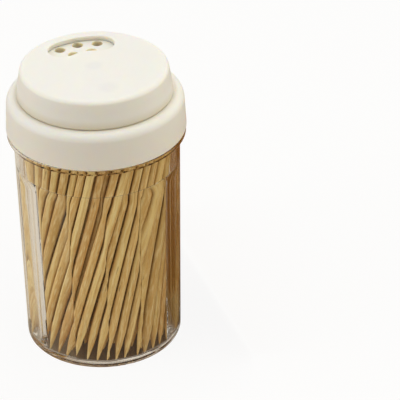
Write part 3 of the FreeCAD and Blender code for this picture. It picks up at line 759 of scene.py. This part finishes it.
# ---------------------------------------------------------------- studio
def make_floor():
    """Pale floor that looks white and keeps a soft trace of the shadow.

    Mirrored in the jar it is dark in front and pale behind on the left; through the jar it shows what
    lies beyond. Close round the foot it is lit as it is, with no glow of its own.
    """
    bpy.ops.object.select_all(action="DESELECT")
    bpy.ops.mesh.primitive_plane_add(size=FLOOR_SIZE, location=(0, 0, -FLOOR_DROP))
    floor = bpy.context.object
    floor.name = floor.data.name = "studio_floor"
    settle(floor)
    material, tree, shader = new_material("pale_floor", roughness=0.7, specular_ior_level=0.1)
    place = own_place(tree)
    along = add(tree, "ShaderNodeSeparateXYZ", {"Vector": place}).outputs
    reach = add(tree, "ShaderNodeVectorMath", {0: place}, operation="LENGTH").outputs["Value"]
    clear_of_jar = ranged(tree, reach, 17 * MM, 22 * MM, 0.0, 1.0)
    path = add(tree, "ShaderNodeLightPath").outputs
    base = mixed(tree, path["Is Camera Ray"], FLOOR_AS_LIGHT, FLOOR_SEEN)
    back_left = math_of(tree, "MULTIPLY", ranged(tree, along["Y"], -15 * MM, 8 * MM, 0.0, 1.0),
                        ranged(tree, along["X"], 5 * MM, 25 * MM, 1.0, 0.0))
    mirrored = mixed(tree, back_left, FLOOR_MIRRORED_IN_FRONT, FLOOR_MIRRORED_BEHIND)
    connect(tree, mixed(tree, path["Is Glossy Ray"], base, mirrored), shader.inputs["Base Color"])
    beyond = beyond_jar(tree, ranged(tree, along["X"], 4 * MM, 22 * MM, 0.0, 1.0))
    tone = mixed(tree, path["Is Camera Ray"], beyond, WHITE)
    glow = add(tree, "ShaderNodeEmission", {"Color": tone, "Strength": 1.0})
    far_share = ranged(tree, along["Y"], -10 * MM, 30 * MM, 0.1, 1.0)
    through = seen_through(tree, path, ranged(tree, reach, 22 * MM, 50 * MM, 0.8, far_share))
    seen = math_of(tree, "MAXIMUM", path["Is Camera Ray"], math_of(tree, "MULTIPLY", through, clear_of_jar))
    share = math_of(tree, "MULTIPLY", seen, FLOOR_GLOW)
    blend = add(tree, "ShaderNodeMixShader", {0: share, 1: shader.outputs[0], 2: glow.outputs[0]})
    tree.links.new(blend.outputs[0], tree.nodes["Material Output"].inputs["Surface"])
    floor.data.materials.append(material)


def make_card():
    """Brown card out of the camera's sight, close on the right behind, that tints the jar's right edge."""
    bpy.ops.object.select_all(action="DESELECT")
    bpy.ops.mesh.primitive_plane_add(size=1, location=CARD_PLACE, rotation=(0, math.pi / 2, 0))
    card = bpy.context.object
    card.name = card.data.name = "brown_card"
    card.scale = (CARD_HEIGHT, CARD_WIDTH, 1)
    settle(card)
    card.data.materials.append(new_material("brown_card", roughness=0.8, base_color=CARD_BROWN)[0])
    card.visible_camera = False


def make_world():
    """White to look at; as light, a warm fill that is lowest in front and strongest on the right.

    Mirrored in the jar it is dark in front and brown on the right.
    """
    world = bpy.data.worlds.new("studio")
    bpy.context.scene.world = world
    world.use_nodes = True
    tree = world.node_tree
    background = tree.nodes["Background"]
    towards = add(tree, "ShaderNodeSeparateXYZ",
                  {"Vector": add(tree, "ShaderNodeTexCoord").outputs["Generated"]}).outputs
    fill = mixed(tree, ranged(tree, towards["Y"], -0.5, 0.6, 0.0, 1.0), FILL_IN_FRONT, FILL_BEHIND)
    fill = mixed(tree, ranged(tree, towards["X"], 0.0, 0.9, 0.0, 0.8), fill, FILL_RIGHT)
    behind = ranged(tree, towards["Y"], -0.6, 0.3, 0.1, 1.0)
    path = add(tree, "ShaderNodeLightPath").outputs
    right = ranged(tree, towards["X"], 0.1, 0.7, 0.0, 1.0)
    mirrored = mixed(tree, right, mixed(tree, behind, MIRRORED_IN_FRONT, WHITE), MIRRORED_RIGHT)
    tone = mixed(tree, path["Is Glossy Ray"], fill, mirrored)
    tone = mixed(tree, seen_through(tree, path, behind), tone,
                 beyond_jar(tree, ranged(tree, towards["X"], 0.3, 0.8, 0.0, 1.0)))
    tone = mixed(tree, path["Is Camera Ray"], tone, WHITE)
    connect(tree, tone, background.inputs["Color"])


def add_lamp(name, place, size, power, tint):
    """A soft rectangular lamp that looks at the dispenser's middle."""
    data = bpy.data.lights.new(name, "AREA")
    data.shape = "RECTANGLE"
    data.size, data.size_y = size
    data.energy = power
    data.color = tint
    lamp = bpy.data.objects.new(name, data)
    bpy.context.scene.collection.objects.link(lamp)
    lamp.location = place
    lamp.rotation_euler = (Vector((0, 0, TOP / 2)) - lamp.location).to_track_quat("-Z", "Y").to_euler()
    lamp.visible_camera = False


def make_camera():
    data = bpy.data.cameras.new("camera")
    data.sensor_width = 36
    data.lens = CAMERA_LENS
    data.clip_start, data.clip_end = 0.01, 20
    camera = bpy.data.objects.new("camera", data)
    bpy.context.scene.collection.objects.link(camera)
    flat = math.cos(CAMERA_ELEVATION)
    away = Vector((math.sin(CAMERA_AZIMUTH) * flat, -math.cos(CAMERA_AZIMUTH) * flat,
                   math.sin(CAMERA_ELEVATION)))
    camera.location = CAMERA_AIM + away * CAMERA_DISTANCE
    camera.rotation_euler = (Matrix.Rotation(CAMERA_AZIMUTH, 3, "Z")
                             @ Matrix.Rotation(math.pi / 2 - CAMERA_ELEVATION, 3, "X")
                             @ Matrix.Rotation(CAMERA_ROLL, 3, "Z")).to_euler()
    bpy.context.scene.camera = camera


# ---------------------------------------------------------------- putting it together
def dress(obj, body, material, nodes=()):
    """Give a piece its material and its body, and hide the CAD nodes it stands for."""
    obj.data.materials.clear()
    obj.data.materials.append(material)
    if nodes:
        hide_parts(*nodes)
    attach(obj, body)


GRAIN = moulded_grain()
jar = make_jar()
dress(jar, "jar", clear_plastic("clear_plastic", GRAIN), ("jar",))
jar.visible_shadow = False
jar.visible_diffuse = False
# the cap's plastic gets painted light in its bores
dress(make_cap(), "cap",
      white_plastic("cap_plastic", GRAIN, CAP_PALE, CAP_DEEP,
                    [(polar(reach, degrees), radius) for reach, degrees, radius in HOLES],
                    1.03, 1.12, PAINTED_BORE_LIGHT, CAP_SHADE_FOOT), ("cap",))
# the dial's plastic gets faint painted shade over its post and the single hole under its top
dress(make_dial(), "dial",
      white_plastic("dial_plastic", GRAIN, DIAL_PALE, DIAL_DEEP,
                    [(Vector(), SHOW_THROUGH_SHADE_RADIUS), (polar(SINGLE_HOLE_REACH, -90), SINGLE_HOLE_RADIUS)],
                    0.6, 1.3, SHOW_THROUGH_SHADE_TINT, DIAL_FOOT), ("dial",))
BAMBOO = bamboo("bamboo")
for bundle in make_picks():
    dress(bundle, "jar", BAMBOO)

make_floor()
make_card()
make_world()
for lamp in LAMPS:
    add_lamp(*lamp)
make_camera()
bpy.context.scene.view_settings.view_transform = "Standard"
paths = bpy.context.scene.cycles
paths.max_bounces = paths.glossy_bounces = paths.transmission_bounces = CLEAR_BOUNCES
paths.diffuse_bounces = DIFFUSE_BOUNCES
